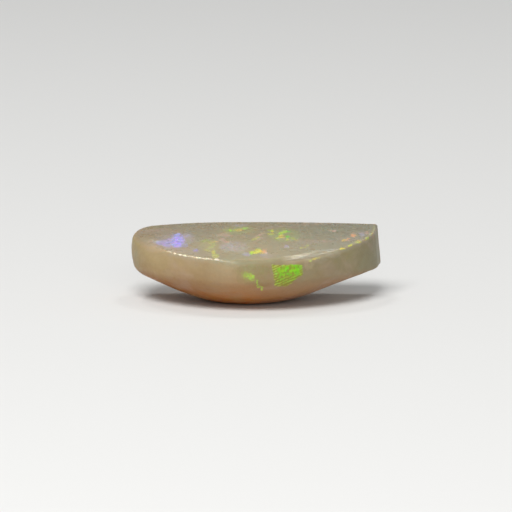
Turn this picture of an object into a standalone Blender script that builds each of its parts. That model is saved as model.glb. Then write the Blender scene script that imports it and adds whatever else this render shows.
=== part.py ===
"""A rubbed piece of rough opal: one stone with a flat polished top that leans a little towards the front, a
half-moon plan, a rounded left end, a square-cut right end and a shallow belly with a small flat to rest on.

X runs along the stone, Y from its front to its back and Z up. Lengths are in millimetres until the mesh is
made.
"""

import math

import bmesh
import bpy
import numpy as np
from mathutils import Vector, noise

MM = 0.001

# The top: a plane that rises towards the back, and a second, gentler flat at the back left.
TOP_HEIGHT = 6.17
TOP_LEAN_DEG = 8.0
SHOULDER_POINT = (-8.9, 1.5)
SHOULDER_AWAY = (-0.70, 0.714)
SHOULDER_DROP_DEG = 2.6
SHOULDER_SOFTNESS = 0.06

# The plan of the rim, where the top would meet the wall if no edge were rounded.
RIM_LEFT = (-12.45, 2.6)
RIM_FRONT = (-0.8, -6.30)
RIM_END_FRONT_Y = 3.0
RIM_CORNER = (12.20, 5.10)
RIM_BACK_LEFT = (-10.8, 5.50)
RIM_BACK_BOW = 0.55

# The plan of the girdle, where the wall turns under into the belly.
GIRDLE_LEFT = (-12.30, 2.3)
GIRDLE_FRONT = (-0.6, -6.25)
GIRDLE_END_FRONT_Y = 2.6
GIRDLE_CORNER = (12.52, 4.80)
GIRDLE_BACK_LEFT = (-10.6, 5.2)
GIRDLE_BACK_BOW = 0.50
GIRDLE_HEIGHT_ENDS = 2.98
GIRDLE_HEIGHT_FRONT = 2.60
GIRDLE_RISE_STATIONS_X = (6.8, 9.4, 10.5, 11.4, 12.3)
GIRDLE_RISES = (0.0, 0.05, 0.12, 0.15, 0.02)

# How full the three rounded quarters of the plan are. For the two at the front, a power of 2 is an ellipse.
FRONT_LEFT_POWER = 1.80
FRONT_RIGHT_POWER = 1.86
BACK_LEFT_FULLNESS = 0.64

# The foot: an ellipse in plan, under the stone's centre of mass.
FOOT_CENTRE = (-0.95, 0.35)
FOOT_HALF = (3.75, 2.35)
FOOT_EVENNESS = 0.4

# How far the wall and the belly stand out from the straight line between their edges. The belly is fullest at
# the front.
WALL_BULGE = 0.22
BELLY_BULGE = 0.12
BELLY_BULGE_FRONT = 0.43

# How far each rounded edge reaches to either side. The rim is crisp at the front left and the front right and
# soft between them. Right of the middle it has a bevel that reaches further into the top than down the wall.
RIM_STATIONS_X = (-12.0, -10.6, -9.0, -3.6, -2.4, -0.8, 0.8, 2.2, 3.4, 5.6, 7.2, 8.6, 9.6, 12.2)
RIM_TOP_SETBACKS = (1.10, 0.90, 0.14, 0.14, 0.45, 0.65, 0.60, 0.62, 1.00, 1.15, 0.75, 0.28, 0.14, 0.14)
RIM_WALL_SETBACKS = (1.10, 0.90, 0.14, 0.14, 0.45, 0.65, 0.60, 0.50, 0.42, 0.42, 0.34, 0.20, 0.14, 0.14)
BEVEL_STATIONS_X = (1.2, 3.0, 7.2, 8.6)
BEVEL_FLATNESS = (0.0, 0.45, 0.45, 0.0)
BACK_RIM_SETBACK = 0.26
LEFT_END_SETBACK = 1.10
GIRDLE_SETBACK = 1.45
GIRDLE_LEFT_SETBACK = 0.62
GIRDLE_CUT_SETBACK = 0.20
WALL_SETBACK = 0.75
BELLY_SETBACK = 1.40
FOOT_SETBACK = 1.55
CORNER_SETBACK = 0.16
SETBACK_LIMIT = 0.44

# Hand-ground surfaces are never quite true.
WAVE_HEIGHT = 0.05
WAVE_LENGTH = 4.2
WAVE_SEED = Vector((3.1, 7.7, 1.9))

# How finely the surface is divided.
COLUMNS_FRONT_LEFT = 34
COLUMNS_FRONT_RIGHT = 38
COLUMNS_END = 4
COLUMNS_BACK = 22
COLUMNS_BACK_LEFT = 15
COLUMNS_CORNER = 3
TOP_RINGS = (0.30, 0.58, 0.80, 0.94)
ARC_STEPS = {"rim": 4, "wall": 3, "girdle": 6, "belly": 3, "foot": 4}

COLOUR = (0.42, 0.35, 0.23, 1.0)
ROUGHNESS = 0.18


def clear_scene():
    """Removes what a new Blender scene starts with."""
    for thing in list(bpy.data.objects):
        bpy.data.objects.remove(thing, do_unlink=True)


def top_height(x, y):
    """The height of the top at a point of the plan: the lower of the two flats, blended where they meet."""
    plane = TOP_HEIGHT + y * math.tan(math.radians(TOP_LEAN_DEG))
    past = (x - SHOULDER_POINT[0]) * SHOULDER_AWAY[0] + (y - SHOULDER_POINT[1]) * SHOULDER_AWAY[1]
    drop = past * math.tan(math.radians(SHOULDER_DROP_DEG))
    return plane - 0.5 * (drop + np.sqrt(drop**2 + SHOULDER_SOFTNESS**2))


def quarter(centre, half, power, turn_from, turn_to, count):
    """Points on a superellipse round centre, from one angle to another, without the last one."""
    turn = np.radians(np.linspace(turn_from, turn_to, count, endpoint=False))
    across, along = np.cos(turn), np.sin(turn)
    x = centre[0] + half[0] * np.sign(across) * np.abs(across) ** (2 / power)
    y = centre[1] + half[1] * np.sign(along) * np.abs(along) ** (2 / power)
    return np.column_stack([x, y])


def bent(start, corner, end, steps):
    """A curve that leaves start towards corner and comes into end from it."""
    t = np.linspace(0, 1, steps + 1)[:, None]
    return (1 - t) ** 2 * start + 2 * t * (1 - t) * corner + t**2 * end


def turned_corner(start, corner, end, fullness, count):
    """A rounder curve from start to end than a bent one, without its last point."""
    t = np.linspace(0, 1, count, endpoint=False)[:, None]
    leaving = start + (corner - start) * fullness
    arriving = end + (corner - end) * fullness
    return (1 - t) ** 3 * start + 3 * t * (1 - t) ** 2 * leaving + 3 * t**2 * (1 - t) * arriving + t**3 * end


def towards(start, goal, distance):
    """The point that far from start on the way to goal."""
    step = goal - start
    return start + step * (distance / np.linalg.norm(step, axis=-1, keepdims=True))


def kept_short(setback, corner, neighbour):
    """A setback held under half of the way to the next corner, so that two roundings never overlap."""
    return np.minimum(setback, SETBACK_LIMIT * np.linalg.norm(neighbour - corner, axis=1, keepdims=True))


def rounded_corner(before, corner, after):
    """The small rounding of a corner of the plan."""
    start = towards(corner, before, CORNER_SETBACK)
    end = towards(corner, after, CORNER_SETBACK)
    return bent(start, corner, end, COLUMNS_CORNER)


def plan(left, front, end_front_y, corner, back_left, back_bow):
    """A closed plan outline, anticlockwise from above, that starts at the left end."""
    left, corner, back_left = (np.array(point) for point in (left, corner, back_left))
    front_left = quarter(
        (front[0], left[1]), (front[0] - left[0], left[1] - front[1]),
        FRONT_LEFT_POWER, 180, 270, COLUMNS_FRONT_LEFT,
    )
    reach = np.array([corner[0] - front[0], corner[1] - front[1]])
    rise = (corner[1] - end_front_y) / reach[1]
    stop = 360 - math.degrees(math.asin(rise ** (FRONT_RIGHT_POWER / 2)))
    front_right = quarter((front[0], corner[1]), reach, FRONT_RIGHT_POWER, 270, stop, COLUMNS_FRONT_RIGHT)
    edge = quarter((front[0], corner[1]), reach, FRONT_RIGHT_POWER, stop, stop + 1, 1)[0]
    end = edge + (corner - edge) * np.linspace(0, 1, COLUMNS_END, endpoint=False)[1:, None]
    share = np.linspace(0, 1, COLUMNS_BACK, endpoint=False)[1:, None]
    back = corner + (back_left - corner) * share + np.array([0, back_bow]) * 4 * share * (1 - share)
    around_edge = rounded_corner(front_right[-1], edge, end[0])
    around_corner = rounded_corner(end[-1], corner, back[0])
    heading = back_left - corner - np.array([0, 4 * back_bow])
    meeting = back_left + heading * (left[0] - back_left[0]) / heading[0]
    turned = turned_corner(back_left, meeting, left, BACK_LEFT_FULLNESS, COLUMNS_BACK_LEFT)
    return np.vstack([front_left, front_right, around_edge, end, around_corner, back, turned])


def foot_plan(girdle):
    """The foot's outline: each point nearly in line with the girdle's, but more evenly spaced."""
    ray = (girdle - np.array(FOOT_CENTRE)) / np.array(FOOT_HALF)
    in_line = np.unwrap(np.arctan2(ray[:, 1], ray[:, 0]))
    even = np.linspace(0, 2 * math.pi, len(girdle), endpoint=False)
    even += np.mean(in_line - even)
    turn = in_line * (1 - FOOT_EVENNESS) + even * FOOT_EVENNESS
    return np.array(FOOT_CENTRE) + np.array(FOOT_HALF) * np.column_stack([np.cos(turn), np.sin(turn)])


def outward(outline):
    """The horizontal direction away from the stone at each point of an outline."""
    along = np.roll(outline, -1, axis=0) - np.roll(outline, 1, axis=0)
    away = np.column_stack([along[:, 1], -along[:, 0]])
    return away / np.linalg.norm(away, axis=1, keepdims=True)


def rim_setback(rim, along_the_front):
    """How far the rim's rounding reaches to one side. It is broad round the left end."""
    front = np.interp(rim[:, 0], RIM_STATIONS_X, along_the_front)
    share = np.clip((rim[:, 1] - 2.0) / 2.2, 0, 1)
    to_left = np.clip((-rim[:, 0] - 5.5) / 6.0, 0, 1) ** 2
    behind = BACK_RIM_SETBACK + (LEFT_END_SETBACK - BACK_RIM_SETBACK) * to_left
    return (front * (1 - share) + behind * share)[:, None]


def rim_flatness(rim):
    """0 where the rim is rounded, and near 1 along the flat bevel on the right of the front."""
    flatness = np.interp(rim[:, 0], BEVEL_STATIONS_X, BEVEL_FLATNESS)
    return np.where(rim[:, 1] < 2.0, flatness, 0.0)[:, None]


def nearness_to_cut(outline):
    """0 along most of the stone, rising to 1 at the cut right end."""
    return np.clip((outline[:, :1] - 8.0) / 3.5, 0, 1)


def girdle_rise(girdle):
    """How much higher the girdle lies near the right end of the front."""
    rise = np.interp(girdle[:, 0], GIRDLE_RISE_STATIONS_X, GIRDLE_RISES)
    return np.where(girdle[:, 1] < GIRDLE_CORNER[1] - 0.3, rise, 0.0)


def girdle_setback(girdle):
    """The girdle is soft along the front and the back, tighter at the left end and crisp at the cut."""
    to_left = np.clip((-girdle[:, :1] - 8.0) / 3.0, 0, 1)
    at_left = (GIRDLE_LEFT_SETBACK - GIRDLE_SETBACK) * to_left
    at_cut = (GIRDLE_CUT_SETBACK - GIRDLE_SETBACK) * nearness_to_cut(girdle)
    return GIRDLE_SETBACK + at_left + at_cut


def with_height(outline, height):
    """An outline's points lifted to a height."""
    return np.column_stack([outline, np.broadcast_to(height, len(outline))])


def surface_rings():
    """The stone as rings of points, from the innermost ring of the top to the foot's edge."""
    rim = plan(RIM_LEFT, RIM_FRONT, RIM_END_FRONT_Y, RIM_CORNER, RIM_BACK_LEFT, RIM_BACK_BOW)
    girdle = plan(
        GIRDLE_LEFT, GIRDLE_FRONT, GIRDLE_END_FRONT_Y, GIRDLE_CORNER, GIRDLE_BACK_LEFT, GIRDLE_BACK_BOW,
    )
    foot = foot_plan(girdle)
    facing_front = np.clip(-outward(girdle)[:, 1], 0, 1)
    girdle_height = GIRDLE_HEIGHT_ENDS + (GIRDLE_HEIGHT_FRONT - GIRDLE_HEIGHT_ENDS) * facing_front
    girdle_height = girdle_height + girdle_rise(girdle)

    corners = {
        "centre": with_height(np.broadcast_to(FOOT_CENTRE, rim.shape), 0.0),
        "rim": with_height(rim, top_height(*rim.T)),
        "girdle": with_height(girdle, girdle_height),
        "foot": with_height(foot, 0.0),
    }
    corners["top"] = with_height(np.broadcast_to(FOOT_CENTRE, rim.shape), top_height(*FOOT_CENTRE))
    push = with_height(outward(girdle), 0.0)
    rounded = 1 - nearness_to_cut(girdle)
    corners["wall"] = (corners["rim"] + corners["girdle"]) / 2 + push * WALL_BULGE * rounded
    under = np.array([0.0, 0.0, -1.0]) * 0.8 + push * 0.6
    fullness = BELLY_BULGE + (BELLY_BULGE_FRONT - BELLY_BULGE) * facing_front[:, None] ** 2
    corners["belly"] = (corners["girdle"] + corners["foot"]) / 2 + under * fullness * rounded
    at_girdle = girdle_setback(girdle)
    setbacks = {
        "rim": (rim_setback(rim, RIM_TOP_SETBACKS), rim_setback(rim, RIM_WALL_SETBACKS)),
        "wall": (WALL_SETBACK, WALL_SETBACK),
        "girdle": (at_girdle, at_girdle),
        "belly": (BELLY_SETBACK, BELLY_SETBACK),
        "foot": (FOOT_SETBACK, FOOT_SETBACK),
    }

    order = ["top", "rim", "wall", "girdle", "belly", "foot", "centre"]
    rings = []
    for before, name, after in zip(order, order[1:], order[2:]):
        here, up, down = corners[name], corners[before], corners[after]
        start = towards(here, up, kept_short(setbacks[name][0], here, up))
        end = towards(here, down, kept_short(setbacks[name][1], here, down))
        if name == "rim":
            here = here + ((start + end) / 2 - here) * rim_flatness(rim)
        t = np.linspace(0, 1, ARC_STEPS[name] + 1)[:, None, None]
        rings.extend((1 - t) ** 2 * start + 2 * t * (1 - t) * here + t**2 * end)

    top_edge = rings[0]
    inner = []
    for share in TOP_RINGS:
        flat = corners["top"][:, :2] + (top_edge[:, :2] - corners["top"][:, :2]) * share
        inner.append(with_height(flat, top_height(*flat.T)))
    top_edge[:, 2] = top_height(*top_edge[:, :2].T)
    return inner + rings


def add_waves(rings):
    """Shifts the wall and the belly by a slow noise. The top and the foot stay flat."""
    first, last = len(TOP_RINGS) + ARC_STEPS["rim"], len(rings) - ARC_STEPS["foot"] - 1
    centre = np.array([*FOOT_CENTRE, TOP_HEIGHT / 2])
    for number in range(first, last):
        weight = math.sin(math.pi * (number - first) / (last - first))
        for point in rings[number]:
            away = (point - centre) / np.linalg.norm(point - centre)
            shift = noise.noise(Vector(point) / WAVE_LENGTH + WAVE_SEED)
            point += away * shift * WAVE_HEIGHT * 2 * weight


def centred(rings):
    """The rings moved so that the middle of their box stands over the origin."""
    points = np.vstack(rings)
    middle = (points.min(axis=0) + points.max(axis=0)) / 2
    middle[2] = 0.0
    return [ring - middle for ring in rings]


def stone_mesh(name, rings):
    """A closed mesh: strips between the rings, and a fan at the middle of the top and of the foot."""
    build = bmesh.new()
    loops = [[build.verts.new(Vector(point) * MM) for point in ring] for ring in rings]
    for upper, lower in zip(loops, loops[1:]):
        for i, corner in enumerate(upper):
            before = i - 1
            build.faces.new((upper[before], lower[before], lower[i], corner))
    for loop, order in ((loops[0], 1), (loops[-1], -1)):
        middle = build.verts.new(sum((vert.co for vert in loop), Vector()) / len(loop))
        for i, vert in enumerate(loop):
            build.faces.new((middle, loop[i - 1], vert)[::order])
    bmesh.ops.triangulate(build, faces=build.faces[:])
    bmesh.ops.recalc_face_normals(build, faces=build.faces[:])
    mesh = bpy.data.meshes.new(name)
    build.to_mesh(mesh)
    build.free()
    mesh.shade_smooth()
    mesh.set_sharp_from_angle(angle=math.radians(30))
    return mesh


def opal_material():
    """Milky opal with a soft polish."""
    material = bpy.data.materials.new("milky_opal")
    material.use_nodes = True
    shader = material.node_tree.nodes["Principled BSDF"]
    shader.inputs["Base Color"].default_value = COLOUR
    shader.inputs["Roughness"].default_value = ROUGHNESS
    shader.inputs["Metallic"].default_value = 0.0
    return material


def build_opal():
    """The one piece: the stone."""
    rings = surface_rings()
    add_waves(rings)
    mesh = stone_mesh("opal", centred(rings))
    mesh.materials.append(opal_material())
    stone = bpy.data.objects.new("opal", mesh)
    bpy.context.scene.collection.objects.link(stone)


clear_scene()
build_opal()
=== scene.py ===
"""The rubbed opal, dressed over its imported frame.

A finely divided surface of the same form takes the solid's place, in milky opal with play-of-colour.

X runs along the stone, Y from its front to its back and Z up. The shape is worked out in millimetres.
"""

import math
from collections import namedtuple

import bmesh
import bpy
import numpy as np
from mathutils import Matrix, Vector, noise


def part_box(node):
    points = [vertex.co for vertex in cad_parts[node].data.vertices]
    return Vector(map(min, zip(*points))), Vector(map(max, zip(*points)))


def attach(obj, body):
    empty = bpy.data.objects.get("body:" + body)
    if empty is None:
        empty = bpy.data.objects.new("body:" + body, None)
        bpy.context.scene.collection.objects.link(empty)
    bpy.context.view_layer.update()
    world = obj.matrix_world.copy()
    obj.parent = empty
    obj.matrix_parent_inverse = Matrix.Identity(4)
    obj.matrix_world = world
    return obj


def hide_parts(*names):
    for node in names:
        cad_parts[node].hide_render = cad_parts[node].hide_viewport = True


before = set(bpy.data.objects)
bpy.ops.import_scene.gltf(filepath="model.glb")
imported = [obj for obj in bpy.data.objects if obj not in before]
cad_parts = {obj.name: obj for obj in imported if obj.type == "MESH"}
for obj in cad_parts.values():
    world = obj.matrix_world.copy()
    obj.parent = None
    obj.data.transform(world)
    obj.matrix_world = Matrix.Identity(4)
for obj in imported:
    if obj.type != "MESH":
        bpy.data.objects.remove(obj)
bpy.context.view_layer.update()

MM = 0.001

# Form of the stone, with the solid's own values

TOP_HEIGHT = 6.17
TOP_LEAN_DEG = 8.0
SHOULDER_POINT = (-8.9, 1.5)
SHOULDER_AWAY = (-0.70, 0.714)
SHOULDER_DROP_DEG = 2.6
SHOULDER_SOFTNESS = 0.06

RIM_LEFT = (-12.45, 2.6)
RIM_FRONT = (-0.8, -6.30)
RIM_END_FRONT_Y = 3.0
RIM_CORNER = (12.20, 5.10)
RIM_BACK_LEFT = (-10.8, 5.50)
RIM_BACK_BOW = 0.55

GIRDLE_LEFT = (-12.30, 2.3)
GIRDLE_FRONT = (-0.6, -6.25)
GIRDLE_END_FRONT_Y = 2.6
GIRDLE_CORNER = (12.52, 4.80)
GIRDLE_BACK_LEFT = (-10.6, 5.2)
GIRDLE_BACK_BOW = 0.50
GIRDLE_HEIGHT_ENDS = 2.98
GIRDLE_HEIGHT_FRONT = 2.60
GIRDLE_RISE_STATIONS_X = (6.8, 9.4, 10.5, 11.4, 12.3)
GIRDLE_RISES = (0.0, 0.05, 0.12, 0.15, 0.02)

FRONT_LEFT_POWER = 1.80
FRONT_RIGHT_POWER = 1.86
BACK_LEFT_FULLNESS = 0.64

FOOT_CENTRE = (-0.95, 0.35)
FOOT_HALF = (3.75, 2.35)
FOOT_EVENNESS = 0.4

WALL_BULGE = 0.22
BELLY_BULGE = 0.12
BELLY_BULGE_FRONT = 0.43

RIM_STATIONS_X = (-12.0, -10.6, -9.0, -3.6, -2.4, -0.8, 0.8, 2.2, 3.4, 5.6, 7.2, 8.6, 9.6, 12.2)
RIM_TOP_SETBACKS = (1.10, 0.90, 0.14, 0.14, 0.45, 0.65, 0.60, 0.62, 1.00, 1.15, 0.75, 0.28, 0.14, 0.14)
RIM_WALL_SETBACKS = (1.10, 0.90, 0.14, 0.14, 0.45, 0.65, 0.60, 0.50, 0.42, 0.42, 0.34, 0.20, 0.14, 0.14)
BEVEL_STATIONS_X = (1.2, 3.0, 7.2, 8.6)
BEVEL_FLATNESS = (0.0, 0.45, 0.45, 0.0)
BACK_RIM_SETBACK = 0.26
LEFT_END_SETBACK = 1.10
GIRDLE_SETBACK = 1.45
GIRDLE_LEFT_SETBACK = 0.62
GIRDLE_CUT_SETBACK = 0.20
WALL_SETBACK = 0.75
BELLY_SETBACK = 1.40
FOOT_SETBACK = 1.55
CORNER_SETBACK = 0.16
CORNER_MARGIN = 1.3
SETBACK_LIMIT = 0.44

# Where one kind of rim or girdle gives way to another: the start, and how far the change takes

RIM_TO_BACK_Y = (2.0, 2.2)
RIM_TO_LEFT_END_X = (5.5, 6.0)
GIRDLE_TO_LEFT_END_X = (8.0, 3.0)
TO_CUT_END_X = (8.0, 3.5)
GIRDLE_RISE_ENDS_BEFORE = 0.3

# Which way the belly bulges, and the slow waves of the wall and the belly

BELLY_PUSH_DOWN = 0.8
BELLY_PUSH_OUT = 0.6
WAVE_HEIGHT = 0.05
WAVE_LENGTH = 4.2
WAVE_SEED = Vector((3.1, 7.7, 1.9))

# How finely the surface is divided

COLUMNS_FRONT_LEFT = 300
COLUMNS_FRONT_RIGHT = 190
COLUMNS_END = 20
COLUMNS_BACK = 90
COLUMNS_BACK_LEFT = 60
COLUMNS_CORNER = 6
TOP_RINGS = (0.15, 0.30, 0.44, 0.57, 0.68, 0.78, 0.86, 0.92, 0.96, 0.985, 0.996)
ARC_STEPS = {"rim": 9, "wall": 9, "girdle": 13, "belly": 10, "foot": 8}

# Chips along the crisp edge: how many, between which X, how wide and how deep, and how far off the edge
# each may lie as a share of its width

CHIPS = (
    (34, -9.1, -3.2, (0.07, 0.19), (0.020, 0.055)),
    (16, 8.6, 12.0, (0.06, 0.14), (0.012, 0.035)),
)
CHIP_SEED = 11
CHIP_FRONT_Y = 3.0
CHIP_OFFSET = 0.4
CHIP_TURN_IN = 0.3
CHIP_TURN_DOWN = 0.9
CHIP_ROUNDNESS = 1.5
CHIP_RINGS_OVER = 2
CHIP_RINGS_UNDER = 4

# Camera, aimed so that the stone stands where it does in a picture 512 pixels wide

CAMERA_ELEVATION_DEG = 11.0
CAMERA_DISTANCE = 600.0
PICTURE_WIDTH = 51.2
AIM = (-0.03, 0.0, 4.63)
SENSOR_WIDTH = 36.0
CLIP_RANGE = (0.01, 10.0)


def top_height(x, y):
    """The height of the top at a point of the plan: the lower of the two flats, blended where they meet."""
    plane = TOP_HEIGHT + y * math.tan(math.radians(TOP_LEAN_DEG))
    past = (x - SHOULDER_POINT[0]) * SHOULDER_AWAY[0] + (y - SHOULDER_POINT[1]) * SHOULDER_AWAY[1]
    drop = past * math.tan(math.radians(SHOULDER_DROP_DEG))
    return plane - 0.5 * (drop + np.sqrt(drop**2 + SHOULDER_SOFTNESS**2))


def quarter(centre, half, power, turn_from, turn_to, count):
    """Points on a superellipse round centre, from one angle to another, without the last one."""
    turn = np.radians(np.linspace(turn_from, turn_to, count, endpoint=False))
    across, along = np.cos(turn), np.sin(turn)
    x = centre[0] + half[0] * np.sign(across) * np.abs(across) ** (2 / power)
    y = centre[1] + half[1] * np.sign(along) * np.abs(along) ** (2 / power)
    return np.column_stack([x, y])


def bent(start, corner, end, steps):
    """A curve that leaves start towards corner and comes into end from it."""
    t = np.linspace(0, 1, steps + 1)[:, None]
    return (1 - t) ** 2 * start + 2 * t * (1 - t) * corner + t**2 * end


def turned_corner(start, corner, end, fullness, count):
    """A rounder curve from start to end than a bent one, without its last point."""
    t = np.linspace(0, 1, count, endpoint=False)[:, None]
    leaving = start + (corner - start) * fullness
    arriving = end + (corner - end) * fullness
    near_start = (1 - t) ** 3 * start + 3 * t * (1 - t) ** 2 * leaving
    near_end = 3 * t**2 * (1 - t) * arriving + t**3 * end
    return near_start + near_end


def towards(start, goal, distance):
    """The point that far from start on the way to goal."""
    step = goal - start
    return start + step * (distance / np.linalg.norm(step, axis=-1, keepdims=True))


def kept_short(setback, corner, neighbour):
    """A setback held under half of the way to the next corner, so that two roundings never overlap."""
    return np.minimum(setback, SETBACK_LIMIT * np.linalg.norm(neighbour - corner, axis=1, keepdims=True))


def rounded_corner(before, corner, after):
    """The small rounding of a corner of the plan."""
    start = towards(corner, before, CORNER_SETBACK)
    end = towards(corner, after, CORNER_SETBACK)
    return bent(start, corner, end, COLUMNS_CORNER)


def plan(left, front, end_front_y, corner, back_left, back_bow):
    """A closed plan outline, anticlockwise from above, that starts at the left end."""
    left, corner, back_left = (np.array(point) for point in (left, corner, back_left))
    front_left = quarter(
        (front[0], left[1]), (front[0] - left[0], left[1] - front[1]),
        FRONT_LEFT_POWER, 180, 270, COLUMNS_FRONT_LEFT,
    )
    reach = np.array([corner[0] - front[0], corner[1] - front[1]])
    rise = (corner[1] - end_front_y) / reach[1]
    stop = 360 - math.degrees(math.asin(rise ** (FRONT_RIGHT_POWER / 2)))
    front_right = quarter((front[0], corner[1]), reach, FRONT_RIGHT_POWER, 270, stop, COLUMNS_FRONT_RIGHT)
    edge = quarter((front[0], corner[1]), reach, FRONT_RIGHT_POWER, stop, stop + 1, 1)[0]
    clear = CORNER_SETBACK * CORNER_MARGIN
    front_right = front_right[np.linalg.norm(front_right - edge, axis=1) > clear]
    end = edge + (corner - edge) * np.linspace(0, 1, COLUMNS_END, endpoint=False)[1:, None]
    end = end[np.linalg.norm(end - edge, axis=1) > clear]
    end = end[np.linalg.norm(end - corner, axis=1) > clear]
    share = np.linspace(0, 1, COLUMNS_BACK, endpoint=False)[1:, None]
    back = corner + (back_left - corner) * share + np.array([0, back_bow]) * 4 * share * (1 - share)
    around_edge = rounded_corner(front_right[-1], edge, end[0])
    around_corner = rounded_corner(end[-1], corner, back[0])
    heading = back_left - corner - np.array([0, 4 * back_bow])
    meeting = back_left + heading * (left[0] - back_left[0]) / heading[0]
    turned = turned_corner(back_left, meeting, left, BACK_LEFT_FULLNESS, COLUMNS_BACK_LEFT)
    return np.vstack([front_left, front_right, around_edge, end, around_corner, back, turned])


def resampled(outline, like):
    """An outline with the point count of another, at the same share of its length."""
    def shares(points):
        step = np.linalg.norm(np.diff(points, axis=0, append=points[:1]), axis=1)
        return np.concatenate([[0], np.cumsum(step)]) / step.sum()

    closed = np.vstack([outline, outline[:1]])
    own = shares(outline)
    wanted = np.linspace(0, len(outline), len(like), endpoint=False)
    at = np.interp(wanted, np.arange(len(closed)), own)
    return np.column_stack([np.interp(at, own, closed[:, 0]), np.interp(at, own, closed[:, 1])])


def foot_plan(girdle):
    """The foot's outline: each point nearly in line with the girdle's, but more evenly spaced."""
    ray = (girdle - np.array(FOOT_CENTRE)) / np.array(FOOT_HALF)
    in_line = np.unwrap(np.arctan2(ray[:, 1], ray[:, 0]))
    even = np.linspace(0, 2 * math.pi, len(girdle), endpoint=False)
    even += np.mean(in_line - even)
    turn = in_line * (1 - FOOT_EVENNESS) + even * FOOT_EVENNESS
    return np.array(FOOT_CENTRE) + np.array(FOOT_HALF) * np.column_stack([np.cos(turn), np.sin(turn)])


def outward(outline):
    """The horizontal direction away from the stone at each point of an outline."""
    along = np.roll(outline, -1, axis=0) - np.roll(outline, 1, axis=0)
    away = np.column_stack([along[:, 1], -along[:, 0]])
    return away / np.linalg.norm(away, axis=1, keepdims=True)


def change(value, start_and_length):
    """0 up to the start, rising evenly to 1 over the length."""
    start, length = start_and_length
    return np.clip((value - start) / length, 0, 1)


def rim_setback(rim, along_the_front):
    """How far the rim's rounding reaches to one side. It is broad round the left end."""
    front = np.interp(rim[:, 0], RIM_STATIONS_X, along_the_front)
    share = change(rim[:, 1], RIM_TO_BACK_Y)
    to_left = change(-rim[:, 0], RIM_TO_LEFT_END_X) ** 2
    behind = BACK_RIM_SETBACK + (LEFT_END_SETBACK - BACK_RIM_SETBACK) * to_left
    return (front * (1 - share) + behind * share)[:, None]


def rim_flatness(rim):
    """0 where the rim is rounded, and near 1 along the flat bevel on the right of the front."""
    flatness = np.interp(rim[:, 0], BEVEL_STATIONS_X, BEVEL_FLATNESS)
    return np.where(rim[:, 1] < RIM_TO_BACK_Y[0], flatness, 0.0)[:, None]


def nearness_to_cut(outline):
    """0 along most of the stone, rising to 1 at the cut right end."""
    return change(outline[:, :1], TO_CUT_END_X)


def girdle_rise(girdle):
    """How much higher the girdle lies near the right end of the front."""
    rise = np.interp(girdle[:, 0], GIRDLE_RISE_STATIONS_X, GIRDLE_RISES)
    return np.where(girdle[:, 1] < GIRDLE_CORNER[1] - GIRDLE_RISE_ENDS_BEFORE, rise, 0.0)


def girdle_setback(girdle):
    """The girdle is soft along the front and the back, tighter at the left end and crisp at the cut."""
    to_left = change(-girdle[:, :1], GIRDLE_TO_LEFT_END_X)
    at_left = (GIRDLE_LEFT_SETBACK - GIRDLE_SETBACK) * to_left
    at_cut = (GIRDLE_CUT_SETBACK - GIRDLE_SETBACK) * nearness_to_cut(girdle)
    return GIRDLE_SETBACK + at_left + at_cut


def with_height(outline, height):
    """An outline's points lifted to a height."""
    return np.column_stack([outline, np.broadcast_to(height, len(outline))])


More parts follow.
